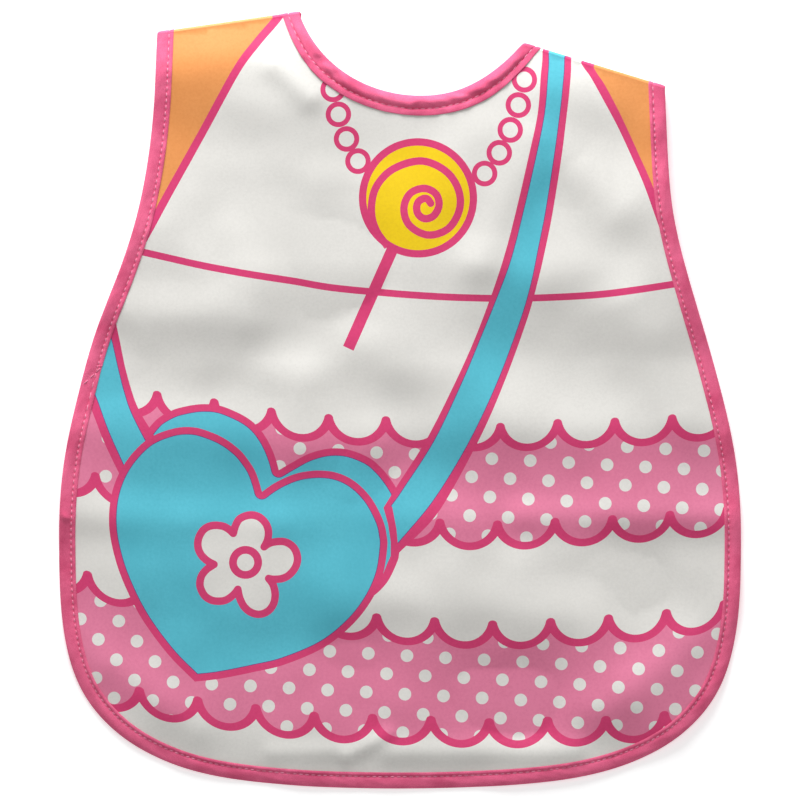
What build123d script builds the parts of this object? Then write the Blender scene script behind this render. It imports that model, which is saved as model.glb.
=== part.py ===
from build123d import *
import os
from math import atan2, cos, degrees, radians, sin

# Child's bib apron, lying face up with both neck straps folded behind it.
# Millimetres. X is across the bib, Y runs up towards the neck, Z is up, and the floor is Z = 0.

# ---------------------------------------------------------------- cloth and tape
FACE_CLOTH = 0.30
BACKING = 0.20
TAPE = 0.35
CLOTH = FACE_CLOTH + BACKING
LAYER = CLOTH + 2 * TAPE

BINDING_WIDTH = 8.0
NECK_BINDING_WIDTH = 9.7
SEAM_FROM_EDGE = 5.9
NECK_SEAM_FROM_EDGE = 6.3
THREAD_WIDTH = 0.6
THREAD_DEPTH = 0.15

# ---------------------------------------------------------------- fastening
FASTENER_THICKNESS = 0.9
HOOK_SIZE = 20.0
LOOP_SIZE = 22.0
FASTENER_CORNER = 2.5
FASTENER_SEAM_INSET = 2.0
HOOK_CENTRE = (-36.0, 104.5)
LOOP_CENTRE = (12.5, 104.5)
CLOSED_GAP = 0.15

# ---------------------------------------------------------------- how the layers stack
FOLD_INNER_RADIUS = 0.4
FOLD_GAP = 0.3
FLOOR_LEVEL = LAYER / 2
END_LEVEL = FASTENER_THICKNESS + CLOTH / 2
STRAP_LEVEL = 2 * END_LEVEL + CLOSED_GAP + FASTENER_THICKNESS + CLOTH / 2
SHOULDER_AXIS_HEIGHT = STRAP_LEVEL + LAYER / 2 + FOLD_INNER_RADIUS
SHOULDER_LEVEL = SHOULDER_AXIS_HEIGHT + FOLD_INNER_RADIUS + LAYER / 2
RAMP_START_Y = 20.0
RAMP_END_Y = 70.0

# ---------------------------------------------------------------- fold lines, outward side on the left
LEFT_FOLD = ((-116.9, 179.9), (-47.2, 189.9))
RIGHT_FOLD = ((58.9, 174.8), (128.6, 153.4))
END_FOLD = ((-14.0, 131.5), (-14.0, 84.0))

# ---------------------------------------------------------------- outlines, with the cloth on the left
# Each outline starts and ends a little beyond the fold that trims it.
LEFT_ARMHOLE = [
    (-117.0, 196.0), (-118.4, 171.0), (-119.6, 146.0), (-122.4, 120.0),
    (-128.2, 91.0), (-137.2, 63.0), (-148.2, 34.0), (-156.6, 4.0),
]
HEM_HALF = [
    (-162.8, -24.0), (-165.8, -52.0), (-166.1, -78.0), (-165.2, -101.0), (-162.3, -121.0),
    (-155.4, -141.0), (-140.6, -160.0), (-110.0, -178.0), (-62.0, -187.4),
]
RIGHT_ARMHOLE = [
    (155.6, 8.0), (147.2, 38.0), (138.0, 70.0), (132.6, 95.0),
    (130.2, 122.0), (129.2, 144.0), (127.6, 172.0),
]
HEM_MIDDLE = [(0.0, -189.8)]
NECKLINE = [
    (69.0, 187.0), (58.0, 173.7), (47.4, 163.8), (30.0, 153.6), (9.7, 150.2),
    (-11.5, 153.8), (-29.9, 163.8), (-41.2, 175.6), (-52.0, 202.0),
]
LEFT_STRAP_ARM = [
    (-120.8, 191.3), (-108.5, 155.0), (-96.0, 130.0), (-77.0, 107.0),
    (-50.0, 91.0), (-14.0, 84.0), (0.0, 83.0),
]
LEFT_STRAP_NECK = [
    (0.0, 129.0), (-14.0, 131.5), (-30.0, 136.5), (-43.5, 148.0), (-49.0, 168.0), (-45.8, 201.8),
]
STRAP_END = [
    (0.0, 134.6), (-14.0, 131.5), (-33.0, 128.0), (-50.0, 122.0), (-60.0, 110.5), (-62.0, 98.0),
    (-56.0, 87.0), (-42.0, 82.0), (-14.0, 83.5), (0.0, 84.6),
]
RIGHT_STRAP = [
    (57.6, 186.7), (60.8, 156.0), (55.0, 140.5), (40.0, 131.8), (18.0, 128.8), (1.5, 125.5), (-7.8, 116.0),
    (-9.6, 104.0), (-7.4, 92.0), (2.0, 83.0), (18.0, 80.6), (44.0, 85.0),
    (72.0, 95.8), (95.0, 113.0), (113.5, 133.0), (135.7, 163.1),
]

# ---------------------------------------------------------------- join in the binding tape
JOIN_POINT = (-152.3, 7.5)
JOIN_ANGLE = 40.0

STATIONS_PER_POINT = 3
REACH = 400.0


def inset(points, distance):
    """Smooth line that runs beside an outline, on the cloth's side of it."""
    edge = Spline(*points)
    if distance == 0:
        return edge
    count = STATIONS_PER_POINT * len(points)
    stations = []
    for i in range(count + 1):
        tangent = edge.tangent_at(i / count)
        stations.append(edge.position_at(i / count) + Vector(-tangent.Y, tangent.X) * distance)
    return Spline(*stations)


def region(*edges):
    """Flat face bounded by open lines taken in order, with straight runs between them."""
    links = []
    for i, edge in enumerate(edges):
        following = edges[(i + 1) % len(edges)]
        links.append(Line(edge @ 1, following @ 0))
    return make_face([*edges, *links])


def band(points, near, far):
    """Flat strip that follows an outline, from one distance inside it to another."""
    first = inset(points, near)
    last = inset(points, far)
    return make_face([first, Line(first @ 1, last @ 1), last, Line(last @ 0, first @ 0)])


def half_plane(start, end, offset=0.0):
    """Large rectangle on the left of a line, moved outwards by the offset."""
    angle = degrees(atan2(end[1] - start[1], end[0] - start[0]))
    return Pos(*start) * Rot(0, 0, angle) * Pos(0, REACH + offset) * Rectangle(2 * REACH, 2 * REACH)


def column(face):
    """Upright solid with a flat face's outline, tall enough to cross every layer."""
    return extrude(Pos(0, 0, -LAYER) * face, SHOULDER_LEVEL + 3 * LAYER)


def front_sheet(low, high):
    """Sheet that follows the front panel: flat on the floor, then up over the straps and flat again."""
    path = [
        (-REACH, FLOOR_LEVEL), (RAMP_START_Y, FLOOR_LEVEL),
        (RAMP_END_Y, SHOULDER_LEVEL), (REACH, SHOULDER_LEVEL),
    ]
    under = [(y, z + low) for y, z in path]
    over = [(y, z + high) for y, z in reversed(path)]
    profile = make_face(Polyline(*under, *over, close=True))
    return extrude(Plane.YZ * profile, REACH, both=True)


def flat_sheet(level, low, high):
    """Level sheet between two heights about a layer's middle."""
    return Pos(0, 0, level + (low + high) / 2) * Box(2 * REACH, 2 * REACH, high - low)


def cloth_layers(shape, sheet):
    """Face cloth and waterproof backing of one panel, whose face side is up."""
    outline = column(shape)
    face = outline & sheet(CLOTH / 2 - FACE_CLOTH, CLOTH / 2)
    backing = outline & sheet(-CLOTH / 2, CLOTH / 2 - FACE_CLOTH)
    return face, backing


def turned(sheet):
    """The same sheet for a panel that lies face down."""
    def mirrored(low, high):
        return sheet(-high, -low)
    return mirrored


def bind(points, trim, shape, sheet, width, seam):
    """Tape folded over an edge, with its needle thread and bobbin thread sunk in it."""
    strip = column(band(points, 0, width) - trim)
    stitch = column(band(points, seam - THREAD_WIDTH / 2, seam + THREAD_WIDTH / 2) - trim)
    pocket = column(shape) & sheet(-CLOTH / 2, CLOTH / 2)
    needle = stitch & sheet(LAYER / 2 - THREAD_DEPTH, LAYER / 2)
    bobbin = stitch & sheet(-LAYER / 2, -LAYER / 2 + THREAD_DEPTH)
    tape = (strip & sheet(-LAYER / 2, LAYER / 2)) - pocket - needle - bobbin
    return tape, needle, bobbin


def fold_roll(start, end, height, inner):
    """Half turn of cloth round a fold line, as thick as the binding at its two ends."""
    along = Vector(*end) - Vector(*start)
    outward = Vector(-along.Y, along.X)
    plane = Plane(origin=(*start, height), x_dir=outward, z_dir=along)
    half = Pos(REACH / 2, 0) * Rectangle(REACH, REACH)
    bound = (Circle(inner + LAYER) - Circle(inner)) & half
    plain = (Circle(inner + TAPE + CLOTH) - Circle(inner + TAPE)) & half
    roll = extrude(plane * plain, along.length)
    roll += extrude(plane * bound, BINDING_WIDTH)
    roll += extrude(plane.offset(along.length - BINDING_WIDTH) * bound, BINDING_WIDTH)
    return roll


def fastener(centre, size, top, outward):
    """Square of hook or loop tape on one side of the cloth, and the box stitch that holds it."""
    square = Pos(*centre) * RectangleRounded(size, size, FASTENER_CORNER)
    line = size - 2 * FASTENER_SEAM_INSET
    outer = RectangleRounded(line + THREAD_WIDTH, line + THREAD_WIDTH, FASTENER_CORNER)
    inner = RectangleRounded(line - THREAD_WIDTH, line - THREAD_WIDTH, FASTENER_CORNER - THREAD_WIDTH)
    box = Pos(*centre) * (outer - inner)
    patch = extrude(Pos(0, 0, top) * square, outward * FASTENER_THICKNESS)
    sunk = top + outward * (FASTENER_THICKNESS - THREAD_DEPTH)
    thread = extrude(Pos(0, 0, sunk) * box, outward * THREAD_DEPTH)
    return patch - thread, thread


nodes = {}


def add_binding(name, points, trim, shape, sheet, width=BINDING_WIDTH, seam=SEAM_FROM_EDGE):
    """Put one stretch of binding and its two threads among the nodes."""
    tape, needle, bobbin = bind(points, trim, shape, sheet, width, seam)
    nodes[f"{name}_binding"] = tape
    nodes[f"{name}_needle_thread"] = needle
    nodes[f"{name}_bobbin_thread"] = bobbin


# ---------------------------------------------------------------- front panel
side = LEFT_ARMHOLE + HEM_HALF + HEM_MIDDLE + [(-x, y) for x, y in reversed(HEM_HALF)] + RIGHT_ARMHOLE
beyond_shoulders = half_plane(*LEFT_FOLD) + half_plane(*RIGHT_FOLD)
front_shape = region(inset(side, TAPE), inset(NECKLINE, TAPE)) - beyond_shoulders
front_face, front_backing = cloth_layers(front_shape, front_sheet)
nodes["front_face_fabric"] = front_face
nodes["front_waterproof_backing"] = front_backing

add_binding(
    "neck", NECKLINE, beyond_shoulders, front_shape, front_sheet, NECK_BINDING_WIDTH, NECK_SEAM_FROM_EDGE
)

join_end = (
    JOIN_POINT[0] + cos(radians(JOIN_ANGLE)),
    JOIN_POINT[1] + sin(radians(JOIN_ANGLE)),
)
above_join = half_plane(JOIN_POINT, join_end)
below_join = half_plane(join_end, JOIN_POINT)
add_binding("left_armhole", side, beyond_shoulders + below_join, front_shape, front_sheet)
add_binding("hem", side, beyond_shoulders + above_join, front_shape, front_sheet)

join_line = Pos(*JOIN_POINT) * Rot(0, 0, JOIN_ANGLE) * Rectangle(4 * BINDING_WIDTH, THREAD_WIDTH)
join_seam = join_line & band(side, TAPE, SEAM_FROM_EDGE - THREAD_WIDTH)
join_thread = column(join_seam) & front_sheet(LAYER / 2 - THREAD_DEPTH, LAYER / 2)
nodes["binding_join_thread"] = join_thread
nodes["left_armhole_binding"] -= join_thread
nodes["hem_binding"] -= join_thread

# ---------------------------------------------------------------- left strap, face down
def strap_sheet(low, high):
    """Level of both straps."""
    return flat_sheet(STRAP_LEVEL, low, high)


strap_down = turned(strap_sheet)
left_trim = half_plane(*LEFT_FOLD, -FOLD_GAP) + half_plane(*END_FOLD, -FOLD_GAP)
left_shape = region(inset(LEFT_STRAP_ARM, TAPE), inset(LEFT_STRAP_NECK, TAPE)) - left_trim
left_face, left_backing = cloth_layers(left_shape, strap_down)
nodes["left_strap_face_fabric"] = left_face
nodes["left_strap_waterproof_backing"] = left_backing
add_binding("left_strap_neck", LEFT_STRAP_NECK, left_trim, left_shape, strap_down)
add_binding("left_strap_arm", LEFT_STRAP_ARM, left_trim, left_shape, strap_down)

# ---------------------------------------------------------------- end of the left strap, folded back face up
def end_sheet(low, high):
    """Level of the strap end, as it lies folded back."""
    return flat_sheet(END_LEVEL, low, high)


end_trim = half_plane(*END_FOLD, -FOLD_GAP)
end_shape = region(inset(STRAP_END, TAPE)) - end_trim
end_face, end_backing = cloth_layers(end_shape, end_sheet)
nodes["strap_end_face_fabric"] = end_face
nodes["strap_end_waterproof_backing"] = end_backing
add_binding("strap_end", STRAP_END, end_trim, end_shape, end_sheet)
hook_top = END_LEVEL - CLOTH / 2
nodes["hook_tape"], nodes["hook_tape_thread"] = fastener(HOOK_CENTRE, HOOK_SIZE, hook_top, -1)

# ---------------------------------------------------------------- right strap, face down
right_trim = half_plane(*RIGHT_FOLD, -FOLD_GAP)
right_shape = region(inset(RIGHT_STRAP, TAPE)) - right_trim
right_face, right_backing = cloth_layers(right_shape, strap_down)
nodes["right_strap_face_fabric"] = right_face
nodes["right_strap_waterproof_backing"] = right_backing
add_binding("right_strap", RIGHT_STRAP, right_trim, right_shape, strap_down)
loop_top = STRAP_LEVEL - CLOTH / 2
nodes["loop_tape"], nodes["loop_tape_thread"] = fastener(LOOP_CENTRE, LOOP_SIZE, loop_top, -1)

# ---------------------------------------------------------------- the three folds
nodes["left_shoulder_fold"] = fold_roll(*LEFT_FOLD, SHOULDER_AXIS_HEIGHT, FOLD_INNER_RADIUS)
nodes["right_shoulder_fold"] = fold_roll(*RIGHT_FOLD, SHOULDER_AXIS_HEIGHT, FOLD_INNER_RADIUS)
end_roll_inner = (STRAP_LEVEL - END_LEVEL - LAYER) / 2
nodes["strap_end_fold"] = fold_roll(*END_FOLD, (STRAP_LEVEL + END_LEVEL) / 2, end_roll_inner)

os.makedirs("parts", exist_ok=True)
for name, shape in nodes.items():
    export_step(shape, f"parts/{name}.step")
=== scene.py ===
import math
import random
import bpy
import numpy as np
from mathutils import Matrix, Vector, noise
from mathutils.geometry import delaunay_2d_cdt


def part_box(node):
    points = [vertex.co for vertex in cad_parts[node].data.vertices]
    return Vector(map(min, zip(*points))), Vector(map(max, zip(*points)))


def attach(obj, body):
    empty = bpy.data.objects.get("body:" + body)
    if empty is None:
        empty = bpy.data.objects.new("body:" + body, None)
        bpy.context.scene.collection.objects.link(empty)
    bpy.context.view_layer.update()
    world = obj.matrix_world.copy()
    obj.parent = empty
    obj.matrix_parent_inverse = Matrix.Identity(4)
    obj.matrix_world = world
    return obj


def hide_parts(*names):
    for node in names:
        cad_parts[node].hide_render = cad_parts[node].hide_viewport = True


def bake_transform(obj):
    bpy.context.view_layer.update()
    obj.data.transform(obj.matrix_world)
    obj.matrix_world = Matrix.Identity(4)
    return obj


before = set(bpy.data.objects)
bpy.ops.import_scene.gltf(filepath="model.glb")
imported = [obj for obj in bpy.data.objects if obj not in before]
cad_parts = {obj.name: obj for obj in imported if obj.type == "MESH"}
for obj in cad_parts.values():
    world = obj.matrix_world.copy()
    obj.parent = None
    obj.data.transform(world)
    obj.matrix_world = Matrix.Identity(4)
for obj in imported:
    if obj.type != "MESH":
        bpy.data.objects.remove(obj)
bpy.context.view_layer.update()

# Lengths below are millimetres in the frame's axes; new_piece turns them into metres.
MM = 0.001

# The cloth and the tape that binds it, measured from the middle of the cloth's thickness.
FACE_TOP = 0.25
FACE_BOTTOM = -0.05
BACKING_TOP = FACE_BOTTOM - 0.01
BACKING_BOTTOM = -0.25
TAPE = 0.35
TAPE_TOP = 0.62
TAPE_INSIDE = 0.27
TAPE_BOTTOM = -0.60
BINDING_WIDTH = 8.0
NECK_BINDING_WIDTH = 9.7
SEAM = 5.9
NECK_SEAM = 6.3

# Lengths at the ends of a tape over which it leans, narrows and calms down to its plain section.
LEAN_LENGTH = 14.0
NARROW_LENGTH = 30.0
CALM_LENGTH = 9.0

# Sizes of the tape's puckers along it.
LONG_PUCKER = 17.0
SHORT_PUCKER = 4.6
RIDGE_PUCKER = 5.0

# Stitches: a rise is how far the thread stands out of its groove, point by point along a stitch.
# A thread's ends are TIP_SHARE as thick as its middle.
STITCH_PITCH = 3.0
STITCH_LENGTH = 2.1
STITCH_PULL = 0.11
SCATTER_ALONG = 0.15
SCATTER_ACROSS = 0.08
STITCH_SLANT = 0.06
THREAD_SIDES = 6
NEEDLE_RADIUS = 0.26
NEEDLE_GROOVE = 0.38
NEEDLE_RISE = np.array([-0.25, -0.02, 0.10, 0.12, 0.10, -0.02, -0.25])
BOBBIN_RADIUS = 0.12
BOBBIN_GROOVE = -0.47
BOBBIN_RISE = np.array([0.22, 0.06, 0.01, 0.0, 0.01, 0.06, 0.22])
JOIN_RADIUS = 0.24
JOIN_RISE = np.array([-0.3, 0.02, 0.12, 0.12, 0.02, -0.3])
BOX_RADIUS = 0.17
BOX_RISE = np.array([0.22, 0.03, 0.0, 0.03, 0.22])
TIP_SHARE = 0.45

# Spacing of the points along a bound edge, a cloth's outline and a circle, and of the grids of
# triangles. A grid's rows are ROW_SHARE of its spacing apart, and its points stay EDGE_SHARE of
# the spacing away from the outline.
STATION = 0.75
OUTLINE_STEP = 1.1
CIRCLE_STEP = 0.9
CLOTH_GRID = 3.0
STRAP_BACKING_GRID = 4.0
FASTENER_GRID = 2.0
ROW_SHARE = 0.866
EDGE_SHARE = 0.45

# A sharper turn of an outline than this, in degrees, is a corner of the cloth.
SHARP_CORNER = 28

# Points in the half turn of a roll of cloth.
ROLL_POINTS = 19

# The bib lies on the floor up to RAMP_START and climbs over the folded straps to RAMP_END.
RAMP_START = 20.0
RAMP_END = 70.0


def levels(node_name):
    low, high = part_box(node_name)
    return low.z / MM, high.z / MM


FLOOR_LEVEL = levels("front_face_fabric")[0] - FACE_BOTTOM
SHOULDER_LEVEL = levels("front_face_fabric")[1] - FACE_TOP
STRAP_LEVEL = levels("left_strap_face_fabric")[0] + FACE_TOP
END_LEVEL = levels("strap_end_face_fabric")[1] - FACE_TOP


# ---- lines and outlines

def length_along(line):
    steps = np.linalg.norm(np.diff(line, axis=0), axis=1)
    return np.concatenate([[0.0], np.cumsum(steps)])


def resample(line, step):
    """The same line with evenly spaced points."""
    along = length_along(line)
    count = max(2, int(round(along[-1] / step)) + 1)
    places = np.linspace(0.0, along[-1], count)
    return np.column_stack([np.interp(places, along, line[:, i]) for i in range(line.shape[1])])


def curve(points, step=1.0):
    """A smooth line through the points."""
    points = np.array(points, float)
    ends = np.vstack([2 * points[0] - points[1], points, 2 * points[-1] - points[-2]])
    spans = []
    for a, b, c, d in zip(ends, ends[1:], ends[2:], ends[3:]):
        count = max(1, int(np.ceil(np.linalg.norm(c - b) / step)))
        t = (np.arange(count) / count)[:, None]
        spans.append(0.5 * (2 * b + (c - a) * t + (2 * a - 5 * b + 4 * c - d) * t**2
                            + (3 * b - a - 3 * c + d) * t**3))
    return np.vstack(spans + [points[-1:]])


def unit(vectors):
    return vectors / np.maximum(np.linalg.norm(vectors, axis=-1, keepdims=True), 1e-9)


def left_of(vectors):
    return np.stack([-vectors[..., 1], vectors[..., 0]], axis=-1)


def circle(x, y, radius):
    count = max(16, int(2 * math.pi * radius / CIRCLE_STEP))
    turn = np.linspace(0, 2 * math.pi, count, endpoint=False)
    return np.column_stack([x + radius * np.cos(turn), y + radius * np.sin(turn)])


def area_inside(polygon):
    """The polygon's area, below zero when the polygon runs clockwise."""
    x, y = polygon[:, 0], polygon[:, 1]
    return np.sum(x * np.roll(y, -1) - np.roll(x, -1) * y) / 2


def counter_clockwise(polygon):
    return polygon if area_inside(polygon) > 0 else polygon[::-1]


def stroke(line, width):
    """The outline of a stroke drawn along a line."""
    side = left_of(unit(np.gradient(line, axis=0))) * width / 2
    return np.vstack([line - side, (line + side)[::-1]])


def inset(polygon, distance):
    """The polygon drawn in by a distance; a corner that points inwards becomes round."""
    polygon = counter_clockwise(polygon)
    edge = np.roll(polygon, -1, axis=0) - polygon
    turn_in = left_of(unit(edge))
    heading = np.arctan2(turn_in[:, 1], turn_in[:, 0])
    result = []
    for i, point in enumerate(polygon):
        before, after = heading[i - 1], heading[i]
        bend = (after - before + math.pi) % (2 * math.pi) - math.pi
        count = 1 + int(abs(bend) / 0.25) if bend < 0 else 1
        for k in range(count + 1):
            angle = before + bend * k / count
            result.append(point + distance * np.array([math.cos(angle), math.sin(angle)]))
    return np.array(result)


def mirrored(polygon, start, end):
    """The polygon turned over across the line from start to end."""
    start, along = np.array(start), unit(np.array(end) - np.array(start))
    offset = np.asarray(polygon) - start
    return start + 2 * (offset @ along)[:, None] * along - offset


def winding(points, polygon):
    """How many times the polygon goes counter-clockwise round each point."""
    result = np.zeros(len(points), int)
    low, high = polygon.min(axis=0), polygon.max(axis=0)
    near = np.flatnonzero(np.all((points >= low) & (points <= high), axis=1))
    if not len(near):
        return result
    x, y = points[near, 0], points[near, 1]
    count = np.zeros(len(near), int)
    for (x0, y0), (x1, y1) in zip(polygon, np.roll(polygon, -1, axis=0)):
        crosses = (y0 <= y) != (y1 <= y)
        if crosses.any():
            side = (x1 - x0) * (y[crosses] - y0) - (x[crosses] - x0) * (y1 - y0)
            upward = y1 > y0
            count[crosses] += np.where((side > 0) == upward, 1 if upward else -1, 0)
    result[near] = count
    return result


def rim(edges):
    """Those of the faces' edges that no other face runs back along."""
    result = {}
    for a, b in edges:
        if (b, a) in result:
            del result[(b, a)]
        else:
            result[(a, b)] = True
    return list(result)


def top_outline(node_name):
    """The outline of a flat CAD node seen from above, counter-clockwise."""
    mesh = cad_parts[node_name].data
    corners = {}  # places in whole micrometres, numbered
    ids = [corners.setdefault(tuple(round(c * 1e6) for c in v.co), len(corners)) for v in mesh.vertices]
    edges = []
    for face in mesh.polygons:
        if face.normal.z > 0.9 and face.area > 1e-8:
            around = [ids[i] for i in face.vertices]
            edges += zip(around, around[1:] + around[:1])
    step = dict(rim(edges))
    places = {index: np.array(place[:2]) * 1e-3 for place, index in corners.items()}
    longest = []
    while step:
        loop = [next(iter(step))]
        while loop[-1] in step:
            loop.append(step.pop(loop[-1]))
        longest = max(longest, loop[:-1], key=len)
    return np.array([places[i] for i in longest])


def stretches(node_name):
    """The outline of a node, cut at its corners into stretches that follow each other."""
    loop = top_outline(node_name)
    edge = unit(np.roll(loop, -1, axis=0) - loop)
    turn = np.degrees(np.arccos(np.clip(np.sum(edge * np.roll(edge, 1, axis=0), axis=1), -1, 1)))
    corners = np.flatnonzero(turn > SHARP_CORNER)
    result = []
    for a, b in zip(corners, np.append(corners[1:], corners[0] + len(loop))):
        result.append(loop[np.arange(a, b + 1) % len(loop)])
    return result


# ---- how the cloth lies

def smoothstep(t):
    t = np.clip(t, 0.0, 1.0)
    return t * t * (3 - 2 * t)


def noise_at(x, y, size, seed):
    flat = [noise.noise(Vector((a / size, b / size, seed))) for a, b in zip(np.ravel(x), np.ravel(y))]
    return np.array(flat).reshape(np.shape(x))


def distance_to(x, y, start, end):
    """The distance from points to the line between start and end."""
    start, along = np.array(start, float), np.array(end, float) - np.array(start, float)
    share = np.clip(((x - start[0]) * along[0] + (y - start[1]) * along[1]) / (along @ along), 0, 1)
    return np.hypot(x - start[0] - share * along[0], y - start[1] - share * along[1])


# Broad waves and small ripples of the cloth: rise, size and seed.
WAVES = (4.0, 58.0, 3.1)
RIPPLES = (0.7, 21.0, 8.4)
DEEPEST_WAVE = -0.4
BASE_LIFT = 1.1

# The swelling beside a shoulder fold: rise, distance from the fold and half width. The cloth
# comes down to the fold over FOLD_REACH.
FOLD_SWELL = (1.0, 15.0, 12.0)
FOLD_REACH = 13.0

# Soft ridges in the cloth as it lies: start, end, half width and height.
RIDGES = [
    ((-170, -55), (-60, -59), 9.5, 1.1),
    ((-60, -59), (60, -56), 10.0, 0.9),
    ((60, -56), (170, -57), 9.0, 2.0),
    ((-160, -12), (-20, -20), 14.0, 1.9),
    ((-10, -16), (165, -12), 13.0, 1.8),
    ((-62, -172), (-30, -171), 5.0, 0.9),
    ((-26, -174), (-6, -163), 4.2, 1.3),
    ((-4, -172), (84, -171), 6.5, 1.7),
    ((-125, 156), (-50, 161), 29.0, 3.8),
    ((82, 118), (106, 96), 15.0, 2.8),
    ((-130, 45), (-78, 40), 13.0, 2.6),
    ((40, 70), (66, 128), 12.0, 2.2),
    ((112, 48), (134, -4), 14.0, 2.6),
    ((-20, 26), (52, -2), 18.0, 2.4),
    ((-120, 28), (-50, 12), 15.0, 2.4),
    ((-60, 165), (-44, 150), 7.0, 1.8),
    ((-140, -130), (-100, -160), 11.0, 1.9),
    ((100, -150), (140, -120), 12.0, 2.0),
    ((-30, -95), (90, -112), 16.0, 1.8),
]


def height(x, y):
    """The middle of the front panel's thickness above the floor."""
    climb = smoothstep((y - RAMP_START) / (RAMP_END - RAMP_START))
    wave, ripple = noise_at(x, y, *WAVES[1:]), noise_at(x, y, *RIPPLES[1:])
    lift = BASE_LIFT + WAVES[0] * np.maximum(wave, DEEPEST_WAVE) + RIPPLES[0] * ripple
    for start, end, half_width, rise in RIDGES:
        lift = lift + rise * np.exp(-(distance_to(x, y, start, end) / half_width) ** 2)
    swell, swell_at, half_width = FOLD_SWELL
    for fold in FRONT_FOLDS:
        near = distance_to(x, y, fold[0], fold[-1])
        lift = lift + swell * np.exp(-((near - swell_at) / half_width) ** 2)
        lift = lift * (1 - np.exp(-near / FOLD_REACH))
    return FLOOR_LEVEL + (SHOULDER_LEVEL - FLOOR_LEVEL) * climb + np.maximum(lift, 0.0)


def at_level(level):
    return lambda x, y: np.full(np.shape(x), level)


# ---- materials

# The period of the wave texture at scale 1, and how far the gloss strays from its mean.
WAVE_PERIOD = 0.314
GLOSS_SPREAD = 0.08


def linear(red, green, blue):
    """Shader colour of a colour given as it is seen, 0 to 255."""
    channels = [c / 255 for c in (red, green, blue)]
    return [c / 12.92 if c <= 0.04045 else ((c + 0.055) / 1.055) ** 2.4 for c in channels] + [1.0]


def add_node(tree, kind, **inputs):
    made = tree.nodes.new(kind)
    for name, value in inputs.items():
        made.inputs[name.replace("_", " ")].default_value = value
    return made


def combined(tree, operation, first, second):
    both = add_node(tree, "ShaderNodeMath")
    both.operation = operation
    tree.links.new(first, both.inputs[0])
    tree.links.new(second, both.inputs[1])
    return both.outputs[0]


def weave_height(tree, place, pitch):
    """A plain weave: warp and weft ribs that pass over each other."""
    ribs = []
    for direction in ("X", "Y"):
        wave = add_node(tree, "ShaderNodeTexWave", Scale=WAVE_PERIOD / pitch, Distortion=0.6, Detail=1.0)
        wave.bands_direction = direction
        tree.links.new(place, wave.inputs["Vector"])
        ribs.append(wave.outputs["Fac"])
    return combined(tree, "ADD", *ribs)


def cloth_material(name, colour, shade, roughness, pitch, relief, sheen=0.0, coat=0.0, mottle=18.0):
    """Woven cloth: mottled colour, uneven gloss and a weave. Shade is the darker colour of its
    mottles; the weave's pitch and relief are millimetres."""
    material = bpy.data.materials.new(name)
    material.use_nodes = True
    tree = material.node_tree
    shader = tree.nodes["Principled BSDF"]
    place = tree.nodes.new("ShaderNodeTexCoord").outputs["Object"]
    large = add_node(tree, "ShaderNodeTexNoise", Scale=mottle, Detail=3.0, Roughness=0.55)
    small = add_node(tree, "ShaderNodeTexNoise", Scale=mottle * 40, Detail=4.0, Roughness=0.6)
    for texture in (large, small):
        tree.links.new(place, texture.inputs["Vector"])
    mixed = combined(tree, "MULTIPLY", large.outputs["Fac"], small.outputs["Fac"])
    ramp = tree.nodes.new("ShaderNodeValToRGB")
    for stop, position, tone in zip(ramp.color_ramp.elements, (0.12, 0.34), (shade, colour)):
        stop.position = position
        stop.color = linear(*tone)
    tree.links.new(mixed, ramp.inputs["Fac"])
    tree.links.new(ramp.outputs["Color"], shader.inputs["Base Color"])
    gloss = add_node(tree, "ShaderNodeMapRange", To_Min=roughness - GLOSS_SPREAD,
                     To_Max=roughness + GLOSS_SPREAD)
    tree.links.new(small.outputs["Fac"], gloss.inputs["Value"])
    tree.links.new(gloss.outputs["Result"], shader.inputs["Roughness"])
    bump = add_node(tree, "ShaderNodeBump", Strength=0.6, Distance=relief * MM)
    tree.links.new(weave_height(tree, place, pitch * MM), bump.inputs["Height"])
    tree.links.new(bump.outputs["Normal"], shader.inputs["Normal"])
    shader.inputs["Sheen Weight"].default_value = sheen
    shader.inputs["Sheen Roughness"].default_value = 0.5
    shader.inputs["Coat Weight"].default_value = coat
    shader.inputs["Coat Roughness"].default_value = 0.38
    shader.inputs["Specular IOR Level"].default_value = 0.35
    return material


def printed(name, colour, shade):
    return cloth_material(name, colour, shade, roughness=0.46, pitch=0.42, relief=0.03, coat=0.06)


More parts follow.
